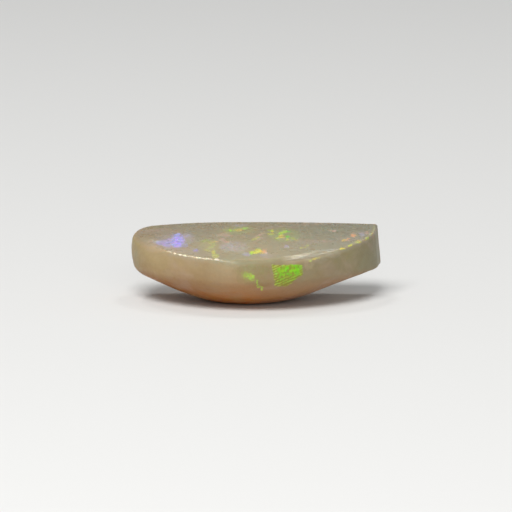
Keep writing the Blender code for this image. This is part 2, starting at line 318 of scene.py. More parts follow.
def surface_rings():
    """The stone as rings of points, from the innermost ring of the top to the foot's edge."""
    girdle = plan(
        GIRDLE_LEFT, GIRDLE_FRONT, GIRDLE_END_FRONT_Y, GIRDLE_CORNER, GIRDLE_BACK_LEFT, GIRDLE_BACK_BOW,
    )
    rim = plan(RIM_LEFT, RIM_FRONT, RIM_END_FRONT_Y, RIM_CORNER, RIM_BACK_LEFT, RIM_BACK_BOW)
    if len(rim) != len(girdle):
        girdle = resampled(girdle, rim)
    foot = foot_plan(girdle)
    facing_front = np.clip(-outward(girdle)[:, 1], 0, 1)
    girdle_height = GIRDLE_HEIGHT_ENDS + (GIRDLE_HEIGHT_FRONT - GIRDLE_HEIGHT_ENDS) * facing_front
    girdle_height = girdle_height + girdle_rise(girdle)

    corners = {
        "centre": with_height(np.broadcast_to(FOOT_CENTRE, rim.shape), 0.0),
        "rim": with_height(rim, top_height(*rim.T)),
        "girdle": with_height(girdle, girdle_height),
        "foot": with_height(foot, 0.0),
    }
    corners["top"] = with_height(np.broadcast_to(FOOT_CENTRE, rim.shape), top_height(*FOOT_CENTRE))
    push = with_height(outward(girdle), 0.0)
    rounded = 1 - nearness_to_cut(girdle)
    corners["wall"] = (corners["rim"] + corners["girdle"]) / 2 + push * WALL_BULGE * rounded
    under = np.array([0.0, 0.0, -BELLY_PUSH_DOWN]) + push * BELLY_PUSH_OUT
    fullness = BELLY_BULGE + (BELLY_BULGE_FRONT - BELLY_BULGE) * facing_front[:, None] ** 2
    corners["belly"] = (corners["girdle"] + corners["foot"]) / 2 + under * fullness * rounded
    at_girdle = girdle_setback(girdle)
    setbacks = {
        "rim": (rim_setback(rim, RIM_TOP_SETBACKS), rim_setback(rim, RIM_WALL_SETBACKS)),
        "wall": (WALL_SETBACK, WALL_SETBACK),
        "girdle": (at_girdle, at_girdle),
        "belly": (BELLY_SETBACK, BELLY_SETBACK),
        "foot": (FOOT_SETBACK, FOOT_SETBACK),
    }

    order = ["top", "rim", "wall", "girdle", "belly", "foot", "centre"]
    rings = []
    for before, name, after in zip(order, order[1:], order[2:]):
        here, up, down = corners[name], corners[before], corners[after]
        start = towards(here, up, kept_short(setbacks[name][0], here, up))
        end = towards(here, down, kept_short(setbacks[name][1], here, down))
        if name == "rim":
            here = here + ((start + end) / 2 - here) * rim_flatness(rim)
        t = np.linspace(0, 1, ARC_STEPS[name] + 1)[:, None, None]
        rings.extend((1 - t) ** 2 * start + 2 * t * (1 - t) * here + t**2 * end)

    top_edge = rings[0]
    inner = []
    for share in TOP_RINGS:
        flat = corners["top"][:, :2] + (top_edge[:, :2] - corners["top"][:, :2]) * share
        inner.append(with_height(flat, top_height(*flat.T)))
    top_edge[:, 2] = top_height(*top_edge[:, :2].T)
    return inner + rings


def add_waves(rings):
    """Shifts the wall and the belly by a slow noise. The top and the foot stay flat."""
    first, last = len(TOP_RINGS) + ARC_STEPS["rim"], len(rings) - ARC_STEPS["foot"] - 1
    centre = np.array([*FOOT_CENTRE, TOP_HEIGHT / 2])
    for number in range(first, last):
        weight = math.sin(math.pi * (number - first) / (last - first))
        for point in rings[number]:
            away = (point - centre) / np.linalg.norm(point - centre)
            shift = noise.noise(Vector(point) / WAVE_LENGTH + WAVE_SEED)
            point += away * shift * WAVE_HEIGHT * 2 * weight


def add_chips(rings):
    """Bites small scoops out of the crisp front edge."""
    chance = np.random.default_rng(CHIP_SEED)
    first = len(TOP_RINGS)
    middle = rings[first + ARC_STEPS["rim"] // 2]
    front = np.flatnonzero(middle[:, 1] < CHIP_FRONT_Y)
    for count, low, high, widths, depths in CHIPS:
        for x in chance.uniform(low, high, count):
            centre = middle[front[np.argmin(np.abs(middle[front, 0] - x))]].copy()
            width, depth = chance.uniform(*widths), chance.uniform(*depths)
            centre[2] += chance.uniform(-CHIP_OFFSET, CHIP_OFFSET) * width
            inward = -np.array([centre[0] * CHIP_TURN_IN, centre[1], 0.0])
            inward = inward / np.linalg.norm(inward) - np.array([0.0, 0.0, CHIP_TURN_DOWN])
            inward /= np.linalg.norm(inward)
            last = first + ARC_STEPS["rim"] + CHIP_RINGS_UNDER
            for ring in rings[first - CHIP_RINGS_OVER:last]:
                reach = np.linalg.norm(ring - centre, axis=1) / width
                ring += inward * (depth * np.clip(1 - reach**2, 0, 1) ** CHIP_ROUNDNESS)[:, None]


def stone_mesh(name, rings):
    """A closed mesh: strips between the rings, and a fan at the middle of the top and of the foot."""
    build = bmesh.new()
    loops = [[build.verts.new(Vector(point) * MM) for point in ring] for ring in rings]
    for upper, lower in zip(loops, loops[1:]):
        for i, corner in enumerate(upper):
            before = i - 1
            build.faces.new((upper[before], lower[before], lower[i], corner))
    for loop, order in ((loops[0], 1), (loops[-1], -1)):
        middle = build.verts.new(sum((vert.co for vert in loop), Vector()) / len(loop))
        for i, vert in enumerate(loop):
            build.faces.new((middle, loop[i - 1], vert)[::order])
    bmesh.ops.recalc_face_normals(build, faces=build.faces[:])
    mesh = bpy.data.meshes.new(name)
    build.to_mesh(mesh)
    build.free()
    mesh.shade_smooth()
    return mesh


def over_the_solid(rings):
    """The rings moved so that their box has the solid's middle and base, and how far they moved."""
    points = np.vstack(rings)
    low, high = (np.array(corner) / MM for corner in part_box("opal"))
    shift = (low + high) / 2 - (points.min(axis=0) + points.max(axis=0)) / 2
    shift[2] = low[2] - points[:, 2].min()
    return [ring + shift for ring in rings], tuple(shift)


class Painter:
    """Short names for the nodes of one material."""

    def __init__(self, name):
        self.material = bpy.data.materials.new(name)
        self.material.use_nodes = True
        self.tree = self.material.node_tree
        self.shader = self.tree.nodes["Principled BSDF"]

    def node(self, kind, **settings):
        """A new node with some of its settings changed."""
        made = self.tree.nodes.new(kind)
        for key, value in settings.items():
            setattr(made, key, value)
        return made

    def join(self, value, socket):
        """Links a socket, or sets a plain value."""
        if isinstance(value, bpy.types.NodeSocket):
            self.tree.links.new(value, socket)
        else:
            socket.default_value = value

    def calc(self, operation, *values):
        """A sum on plain numbers."""
        made = self.node("ShaderNodeMath", operation=operation)
        for value, socket in zip(values, made.inputs):
            self.join(value, socket)
        return made.outputs[0]

    def product(self, first, *others):
        """Several numbers multiplied."""
        for other in others:
            first = self.calc("MULTIPLY", first, other)
        return first

    def vector(self, operation, *values, output=0):
        """A sum on vectors. Output 1 is the plain number that some sums give."""
        made = self.node("ShaderNodeVectorMath", operation=operation)
        for value, socket in zip(values, made.inputs):
            self.join(value, socket)
        return made.outputs[output]

    def parts(self, vector):
        """The three numbers of a vector."""
        made = self.node("ShaderNodeSeparateXYZ")
        self.join(vector, made.inputs[0])
        return made.outputs

    def triple(self, x, y, z=0.0):
        """A vector of three numbers."""
        made = self.node("ShaderNodeCombineXYZ")
        for value, socket in zip((x, y, z), made.inputs):
            self.join(value, socket)
        return made.outputs[0]

    def ramp(self, value, limits, ends=(0.0, 1.0), kind="SMOOTHSTEP"):
        """Goes from one end to the other as a value goes from one limit to the other."""
        made = self.node("ShaderNodeMapRange", interpolation_type=kind)
        for item, socket in zip((value, *limits, *ends), made.inputs):
            self.join(item, socket)
        return made.outputs[0]

    def mix(self, share, first, second, blend="MIX"):
        """The first colour with a share of the second. Each is a socket or a plain (r, g, b)."""
        made = self.node("ShaderNodeMix", data_type="RGBA", blend_type=blend)
        self.join(share, made.inputs[0])
        for colour, socket in ((first, made.inputs[6]), (second, made.inputs[7])):
            self.join((*colour, 1.0) if isinstance(colour, tuple) else colour, socket)
        return made.outputs[2]

    def shaded(self, colour, factor):
        """A colour made lighter or darker by a factor."""
        return self.mix(1.0, colour, self.triple(factor, factor, factor), blend="MULTIPLY")

    def colours(self, value, stops):
        """A colour ramp with the given (place, colour) stops."""
        made = self.node("ShaderNodeValToRGB")
        ramp = made.color_ramp
        while len(ramp.elements) < len(stops):
            ramp.elements.new(0.5)
        for element, (place, colour) in zip(ramp.elements, stops):
            element.position = place
            element.color = (*colour, 1.0)
        self.join(value, made.inputs[0])
        return made.outputs[0]

    def noise(self, vector, settings, output=0):
        """Cloudy noise. Output 0 is a plain number and output 1 three of them."""
        made = self.node("ShaderNodeTexNoise")
        self.join(vector, made.inputs["Vector"])
        for value, key in zip(settings, ("Scale", "Detail", "Roughness", "Distortion")):
            made.inputs[key].default_value = value
        return made.outputs[output]


# Colours of the milky body, as (share of the length from the left end, colour)

TOP_COLOURS = (
    (0.0, (0.335, 0.255, 0.155)),
    (0.20, (0.34, 0.29, 0.195)),
    (0.50, (0.36, 0.30, 0.185)),
    (0.80, (0.30, 0.275, 0.19)),
    (1.0, (0.305, 0.28, 0.20)),
)
WALL_COLOURS = (
    (0.0, (0.355, 0.275, 0.14)),
    (0.09, (0.41, 0.31, 0.155)),
    (0.30, (0.36, 0.265, 0.14)),
    (0.38, (0.40, 0.31, 0.18)),
    (0.46, (0.375, 0.295, 0.17)),
    (0.54, (0.33, 0.25, 0.14)),
    (0.62, (0.295, 0.235, 0.13)),
    (0.71, (0.29, 0.233, 0.13)),
    (0.80, (0.265, 0.22, 0.12)),
    (0.88, (0.28, 0.24, 0.125)),
    (1.0, (0.235, 0.205, 0.115)),
)
# The belly's own orange-brown, darkened with painted shade where the surface faces down
BELLY_COLOURS_AND_SHADE = (
    (0.0, (0.25, 0.105, 0.012)),
    (0.28, (0.325, 0.106, 0.008)),
    (0.45, (0.405, 0.135, 0.014)),
    (0.75, (0.35, 0.185, 0.085)),
    (1.0, (0.26, 0.185, 0.10)),
)

# Where the parts of the body begin and end: each pair is the two values that a fade runs between, in
# millimetres, except that the facing is the height of the surface's unit normal

LENGTH_X = (-12.5, 12.5)
TOP_EDGE_DEPTHS = (0.10, 0.60)
FRONT_Y = (1.0, -1.5)
BACK_Y = (2.0, 4.0)
TOP_SHADING_Y = (-3.5, 5.5)
TOP_SHADING = (1.08, 0.80)
BELLY_FACING = (0.15, -0.95)
BELLY_WOBBLE = 0.5
BELLY_MIDDLE_X = -0.5
BELLY_EDGE_BOW = 0.021
BELLY_EDGE_HEIGHTS = (2.0, 0.6)
BELLY_SHARES = (0.72, 1.16)
# Painted light: the colour made lighter towards the foot
FOOT_PAINTED_LIGHT_HEIGHTS = (1.0, 0.0)
FOOT_PAINTED_LIGHT = (1.0, 1.38)

# Noise, as (fineness, detail, roughness, distortion), and what it does to the body

WOBBLE_NOISE = (0.30, 2.0)
VEIL_NOISE = (1.0, 4.0, 0.5, 0.5)
VEIL_STRETCH = (0.20, 0.42, 0.42)
VEILS = (
    ((0.50, 0.74), (0.46, 0.34, 0.28)),
    ((0.46, 0.26), (0.28, 0.30, 0.20)),
)
VEIL_STRENGTH = 0.35
GRAIN_NOISE = (2.6, 5.0, 0.62)
GRAIN_LIMITS = (0.3, 0.7)
GRAIN_SHADES = (0.965, 1.035)

# The soft stretch in the middle of the front rim, with painted shade that is strongest where it tilts between
# the top and the wall

SOFT_RIM_LEFT_X = (-3.6, -1.0)
SOFT_RIM_RIGHT_X = (3.6, 2.2)
SOFT_RIM_DEPTHS = (1.25, 0.45)
SOFT_RIM_Y = (-4.0, -5.6)
SOFT_RIM_PAINTED_SHADE = (0.75, 0.77, 0.69)
SOFT_RIM_UNDER_TOP = (0.99, 0.86)
SOFT_RIM_OVER_WALL = (0.15, 0.50)
SOFT_RIM_TILTED_SHARE = 0.75

# The opal's small domains, each of one colour, and how they tear the edges of the patches

DOMAIN_FINENESS = 4.6
DOMAIN_RAGS = (0.35, 0.35, 0.35)
RAG_NOISE = (3.2, 3.0, 0.6)
LIVELY_LIMITS = (0.0, 0.60)
LIVELY_SHARES = (0.56, 1.0)
HUE_SWING = (0.5, 0.4, 0.5)
HUE_LEAST = (0.73, 0.80, 0.73)
PATCH_OWN_SHARE = 0.45
PATCH_RAGS = (0.40, 0.16, 0.0)
PATCH_MARGIN = 1.3
PATCH_FADE = (0.03, 0.40)

# Colours of the play-of-colour, and the order in which they are laid over each other

OLIVE = (0.20, 0.205, 0.06)
GREEN = (0.17, 0.66, 0.03)
LEAF = (0.36, 0.62, 0.06)
LIME = (0.50, 0.78, 0.05)
LEMON = (0.70, 0.71, 0.08)
GOLD = (0.85, 0.60, 0.10)
ORANGE = (0.90, 0.45, 0.22)
PINK = (0.67, 0.44, 0.36)
LILAC = (0.50, 0.46, 0.66)
VIOLET = (0.42, 0.38, 0.92)
WHITE = (0.90, 0.86, 0.92)
CREAM = (0.95, 0.89, 0.70)
COLOURS_IN_ORDER = (OLIVE, LILAC, VIOLET, PINK, GREEN, LEAF, LIME, LEMON, GOLD, ORANGE, CREAM, WHITE)

# Colours of the faint tints, of the painted shade under the bevel and of the painted highlights on it

UNDER_BEVEL_SHADE = (0.17, 0.13, 0.08)
BEVEL_HIGHLIGHT_MIST = (0.62, 0.68, 0.68)
BEVEL_HIGHLIGHT_PEARL = (0.72, 0.72, 0.74)
ASH = (0.60, 0.60, 0.60)
CLAY = (0.48, 0.45, 0.44)
TAN = (0.42, 0.30, 0.10)
OCHRE = (0.36, 0.26, 0.09)
RUST = (0.30, 0.15, 0.04)
AMBER = (0.42, 0.13, 0.012)

# An oval patch as seen from the front: its place and half size in millimetres across and up, its turn in
# degrees, its colour and its strength

Patch = namedtuple("Patch", "across up half_across half_up turn colour strength")


def patches(*rows):
    """Plain rows as patches."""
    return [Patch(*row) for row in rows]


TOP_PATCHES_AND_HIGHLIGHTS = patches(
    (-7.86, 6.03, 0.66, 0.64, 0, VIOLET, 0.81),
    (-7.20, 5.62, 0.32, 0.19, 0, VIOLET, 0.42),
    (-7.95, 6.62, 0.42, 0.16, 20, VIOLET, 0.75),
    (-8.80, 5.88, 0.60, 0.38, 20, VIOLET, 0.47),
    (-9.35, 5.86, 0.60, 0.26, 5, VIOLET, 0.38),
    (-8.60, 5.50, 0.38, 0.15, 20, LILAC, 0.32),
    (-10.35, 6.02, 0.55, 0.24, 0, CREAM, 0.08),
    (-10.50, 7.40, 1.00, 0.26, 5, OLIVE, 0.20),
    (-10.0, 5.94, 0.40, 0.12, -8, LILAC, 0.45),
    (-6.95, 6.52, 0.42, 0.16, 4, LILAC, 0.45),
    (-6.00, 5.10, 0.28, 0.16, 0, VIOLET, 0.34),
    (-8.30, 6.15, 1.75, 0.70, 8, LILAC, 0.15),
    (-6.90, 6.35, 0.70, 0.55, 0, LILAC, 0.18),
    (-5.05, 6.05, 0.55, 0.14, 5, LEAF, 0.22),
    (-4.35, 5.90, 0.45, 0.13, 12, LEMON, 0.30),
    (-4.45, 5.52, 0.40, 0.14, 28, LEMON, 0.32),
    (-4.85, 5.12, 0.32, 0.12, 10, LEMON, 0.30),
    (-4.25, 4.85, 0.20, 0.24, 0, LEMON, 0.50),
    (-4.02, 4.54, 0.36, 0.16, 0, LEMON, 0.36),
    (-4.70, 5.55, 1.00, 0.60, -10, LEMON, 0.09),
    (-2.10, 5.35, 1.40, 0.55, 0, WHITE, 0.055),
    (-3.20, 6.62, 0.85, 0.10, -2, PINK, 0.42),
    (-3.00, 6.85, 0.55, 0.08, 0, PINK, 0.34),
    (-3.55, 6.12, 0.55, 0.12, 25, PINK, 0.38),
    (-2.95, 5.95, 0.35, 0.10, 5, PINK, 0.35),
    (-2.60, 5.45, 0.80, 0.25, 0, LILAC, 0.24),
    (-2.30, 5.50, 1.35, 0.50, 0, LILAC, 0.14),
    (-2.55, 7.10, 0.42, 0.13, 5, LEAF, 0.34),
    (-1.75, 7.18, 0.50, 0.12, 10, LEMON, 0.26),
    (-1.10, 7.30, 0.40, 0.14, 12, LEAF, 0.28),
    (-2.65, 7.12, 0.14, 0.10, 0, LIME, 0.70),
    (-1.80, 7.15, 1.70, 0.42, 4, LEAF, 0.11),
    (2.80, 6.65, 1.50, 0.70, 0, LEAF, 0.13),
    (1.05, 4.55, 0.50, 0.24, 0, LILAC, 0.14),
    (0.60, 4.62, 0.30, 0.14, 0, LILAC, 0.24),
    (-1.70, 7.10, 0.24, 0.08, 8, GOLD, 0.30),
    (-1.05, 7.35, 0.20, 0.08, 20, LIME, 0.42),
    (-1.55, 7.62, 0.80, 0.10, 3, LILAC, 0.25),
    (-0.95, 4.70, 0.40, 0.16, 0, LILAC, 0.45),
    (-0.42, 4.86, 0.28, 0.15, 14, LIME, 0.86),
    (0.10, 5.02, 0.38, 0.22, 20, LEMON, 0.74),
    (0.25, 5.25, 0.20, 0.10, 10, LEMON, 0.70),
    (0.48, 4.95, 0.22, 0.17, 0, GOLD, 0.62),
    (0.86, 5.02, 0.22, 0.20, -20, ORANGE, 0.66),
    (0.95, 4.80, 0.10, 0.14, 0, CREAM, 0.32),
    (0.25, 6.60, 0.55, 0.12, 32, PINK, 0.45),
    (-0.05, 6.30, 0.40, 0.10, 24, LEMON, 0.40),
    (0.40, 6.25, 0.30, 0.09, 24, PINK, 0.40),
    (1.60, 7.05, 0.16, 0.15, -10, LEMON, 0.75),
    (1.35, 7.10, 0.26, 0.06, 0, LEAF, 0.45),
    (1.40, 6.72, 0.28, 0.07, 0, LEMON, 0.60),
    (2.75, 6.95, 0.32, 0.16, 14, LIME, 0.47),
    (3.15, 7.00, 0.30, 0.06, 0, GREEN, 0.70),
    (2.40, 6.72, 0.26, 0.15, 10, LEAF, 0.65),
    (2.55, 6.55, 0.28, 0.18, 0, GOLD, 0.42),
    (2.25, 6.38, 0.34, 0.07, 5, LEMON, 0.55),
    (2.70, 6.34, 0.16, 0.09, 0, ORANGE, 0.55),
    (3.10, 6.48, 0.26, 0.12, 0, GREEN, 0.65),
    (3.10, 6.15, 0.20, 0.08, 0, LEMON, 0.60),
    (3.75, 6.35, 0.55, 0.05, -5, LEAF, 0.40),
    (3.85, 6.18, 0.40, 0.05, -20, LEMON, 0.35),
    (3.20, 5.42, 0.12, 0.08, 0, WHITE, 0.85),
    (2.98, 5.50, 0.26, 0.12, 0, LILAC, 0.45),
    (4.38, 5.38, 0.20, 0.06, 0, LEMON, 0.45),
    (5.05, 5.52, 0.30, 0.06, 35, LEMON, 0.40),
    (6.90, 6.05, 0.24, 0.06, 0, PINK, 0.45),
    (7.86, 7.08, 0.14, 0.09, 0, PINK, 0.75),
    (7.45, 7.12, 0.22, 0.05, 0, PINK, 0.35),
    (8.80, 6.10, 0.24, 0.09, 12, GOLD, 0.50),
    (9.12, 6.24, 0.28, 0.12, 10, ORANGE, 0.52),
    (9.78, 6.62, 0.28, 0.20, -10, ORANGE, 0.62),
    (9.70, 6.78, 0.20, 0.06, 0, PINK, 0.60),
    (10.60, 6.68, 0.28, 0.22, 0, LILAC, 0.30),
    (11.08, 6.88, 0.14, 0.16, 0, PINK, 0.60),
    (8.55, 5.28, 0.26, 0.10, 0, LEMON, 0.80),
    (9.45, 5.64, 0.14, 0.10, 12, LEMON, 0.56),
    (9.25, 5.56, 0.10, 0.05, 12, LIME, 0.50),
    (10.15, 5.96, 0.31, 0.17, 5, LEMON, 0.53),
    (11.05, 6.28, 0.26, 0.10, 30, LEMON, 0.55),
    (11.55, 6.75, 0.22, 0.10, 55, LEMON, 0.22),
    (11.80, 7.25, 0.26, 0.09, 75, LEMON, 0.12),
    # Painted highlight: a soft pale band along the rounded rim near the right end
    (11.25, 6.60, 0.42, 0.13, 45, CREAM, 0.06),
    (11.80, 7.20, 0.50, 0.16, 68, CREAM, 0.08),
)
WALL_PATCHES = patches(
    (-1.02, 2.66, 0.28, 0.29, 0, LEAF, 0.50),
    (-0.64, 2.50, 0.36, 0.28, -15, LIME, 0.32),
    (-0.40, 2.36, 0.28, 0.27, -10, LEAF, 0.50),
    (0.10, 1.97, 0.16, 0.17, -30, LEAF, 0.75),
    (0.16, 1.68, 0.08, 0.10, -40, LEAF, 0.65),
    (0.38, 1.49, 0.30, 0.10, -10, LEAF, 0.60),
    (0.50, 1.24, 0.10, 0.08, 0, LIME, 0.52),
    (5.85, 4.27, 0.36, 0.07, 8, LEMON, 0.55),
    (5.32, 4.07, 0.18, 0.08, 5, LIME, 0.50),
    (-11.6, 3.20, 0.25, 0.25, 0, PINK, 0.30),
    (-0.20, 3.10, 1.90, 0.55, 0, OLIVE, 0.38),
    (0.40, 2.30, 1.10, 0.80, -20, OLIVE, 0.26),
    (1.70, 2.70, 0.55, 0.95, 0, OLIVE, 0.26),
    (-0.85, 2.05, 0.45, 0.35, 0, OLIVE, 0.26),
    (-0.45, 2.15, 0.70, 0.35, -30, OLIVE, 0.26),
    (-1.50, 2.40, 0.50, 0.55, 0, OLIVE, 0.22),
    (5.20, 3.75, 0.50, 0.55, 0, CREAM, 0.07),
    (-0.75, 2.55, 0.80, 0.50, -10, LEAF, 0.12),
)

BACK_PATCHES = patches(
    (-6.60, 4.05, 0.42, 0.28, 15, LEAF, 0.55),
    (-6.05, 4.40, 0.34, 0.14, 30, LEMON, 0.45),
    (-1.50, 5.45, 0.50, 0.18, 5, VIOLET, 0.50),
    (-0.85, 5.65, 0.28, 0.12, 0, LILAC, 0.40),
    (2.90, 3.50, 0.60, 0.34, -12, GREEN, 0.50),
    (3.60, 3.85, 0.26, 0.18, 0, LIME, 0.50),
    (8.60, 5.30, 0.32, 0.20, 10, ORANGE, 0.50),
    (8.05, 5.05, 0.26, 0.11, 0, PINK, 0.45),
)

# Painted highlights on the chipped rim's pale beads and the bevel's whiter streaks, painted shade in a darker
# line under the bevel, and faint tints of the wall and the belly

HIGHLIGHTS_SHADE_AND_TINTS = patches(
    # Painted highlights where the chipped rim catches the light
    (-8.12, 4.81, 0.13, 0.08, -15, CREAM, 0.90),
    (-7.58, 4.67, 0.16, 0.07, -12, CREAM, 0.90),
    (-7.15, 4.57, 0.20, 0.07, -10, CREAM, 0.80),
    (-8.60, 4.95, 0.12, 0.06, -20, CREAM, 0.60),
    (-3.95, 4.22, 0.16, 0.09, 0, CREAM, 0.50),
    # Painted shade along the line where the bevel meets the wall
    (5.00, 4.40, 1.90, 0.15, 9, UNDER_BEVEL_SHADE, 0.45),
    # Painted highlight on the bevel and its pale tail
    (3.45, 4.52, 0.75, 0.09, 4, CREAM, 0.22),
    (4.00, 4.48, 0.55, 0.20, 8, CREAM, 0.29),
    (4.75, 4.66, 0.65, 0.17, 14, CREAM, 0.28),
    (5.65, 4.93, 0.55, 0.10, 17, CREAM, 0.20),
    (6.60, 5.10, 0.50, 0.09, 6, BEVEL_HIGHLIGHT_MIST, 0.16),
    (7.45, 5.20, 0.50, 0.08, 8, BEVEL_HIGHLIGHT_PEARL, 0.22),
    # Faint tints of the wall and the belly
    (7.70, 4.62, 0.80, 0.25, 10, ASH, 0.10),
    (6.35, 4.12, 0.65, 0.35, 5, CLAY, 0.12),
    (-9.70, 5.12, 1.10, 0.28, -18, TAN, 0.26),
    (-12.0, 3.90, 0.55, 0.60, 0, OCHRE, 0.26),
    (-7.30, 2.05, 1.10, 0.62, -10, RUST, 0.28),
    (-2.50, 0.66, 2.00, 0.36, 0, AMBER, 0.34),
)
TINT_RAGS = (0.5, 0.10, 0.0)
STREAK_NOISE = (2.2, 3.0)
STREAK_STRETCH = (0.8, 2.0, 2.0)
STREAK_LIMITS = (0.35, 0.65)
STREAK_SHARES = (0.60, 1.0)

# The large green flash on the front. Its sides are in half sizes from its middle: the left one leans a little
# and the right one leans in below its bend

FLASH_MIDDLE = (3.12, 2.62)
FLASH_HALF = (1.50, 1.06)
FLASH_OWN_SHARE = 0.70
FLASH_RAGS = (0.20, 0.20, 0.0)
FLASH_RIGHT_BEND = 0.10
FLASH_RIGHT_LEAN = 0.92
FLASH_LEFT_SIDE = -0.96
FLASH_LEFT_LEAN = -0.10
FLASH_RIGHT_FADE = (-0.04, 0.08)
FLASH_LEFT_FADE = (-0.05, 0.07)
FLASH_UPPER_FADE = (1.05, 0.92)
FLASH_LOWER_FADE = (-1.12, -0.90)
FLASH_STRENGTH = 0.95

# The flash's slanting lines, which run together above, its olive fringe and its colours

LINE_SLANT = -0.42
LINE_SETTINGS = (("Scale", 1.20), ("Distortion", 3.0), ("Detail", 3.0), ("Detail Scale", 3.0))
LINE_FADE = (0.30, 0.70)
BRIGHT_LEAN = -0.25
BRIGHT_FADE = (-0.85, 0.38)
UNBROKEN_FADE = (0.45, 0.95)
FRINGE_LEFT = (-0.50, -0.88)
FRINGE_RIGHT = (0.68, 0.96)
FRINGE_RIGHT_SHARES = (0.0, 0.7)
FRINGE_UPPER_LEAN = -0.30
FRINGE_UPPER = (0.80, 1.08)
FLASH_DIM_GREEN = (0.35, 0.43, 0.05)
FLASH_BRIGHT_GREEN = (0.225, 0.52, 0.012)
FRINGE_COLOUR = (0.42, 0.50, 0.08)
FLASH_GAP_COLOUR = (0.25, 0.25, 0.03)
DULL_CELL_LIMITS = (0.0, 0.55)
DULL_CELL_SHARES = (0.30, 1.0)

# The crisp rim on the left of the front, with a painted highlight: a pale line that reaches further over the
# top than down the wall

RIM_HIGHLIGHT_COLOUR = (0.92, 0.82, 0.60)
RIM_HIGHLIGHT_STRENGTH = 0.72
RIM_HIGHLIGHT_NOISE = (2.4, 4.0, 0.7)
RIM_HIGHLIGHT_NOISE_LIMITS = (0.36, 0.70)
RIM_HIGHLIGHT_WIDTHS = (-0.05, 0.12)
RIM_HIGHLIGHT_EDGE = (-0.05, 0.02)
RIM_HIGHLIGHT_THINNING_X = (-8.4, -5.8)
RIM_HIGHLIGHT_THINNING = (-0.05, 0.04)
RIM_HIGHLIGHT_TOP_SHARE = 0.42
RIM_HIGHLIGHT_LEFT_X = (-9.5, -8.2)
RIM_HIGHLIGHT_RIGHT_X = (-3.2, -4.0)
RIM_HIGHLIGHT_Y = (1.0, 0.0)
RIM_REACH = 9.3

# Gloss, relief and the light that scatters under the surface

ROUGHNESS_BELOW = 0.36
ROUGHNESS_OF_TOP = -0.14
ROUGHNESS_OF_SOFT_RIM = 0.30
ROUGHNESS_SWING = 0.12
ROUGHNESS_NOISE = (1.1, 3.0)
RELIEF_NOISE = (1.5, 5.0, 0.55)
RELIEF_STRENGTH = 0.6
RELIEF_HEIGHT = 0.11
RELIEF_OF_TOP = -0.65
REFRACTION = 1.45
SPECULAR_LEVEL = 0.40
SCATTER_SHARE = 0.6
SCATTER_COLOURS = (1.0, 0.60, 0.35)
SCATTER_DEPTH = 1.4


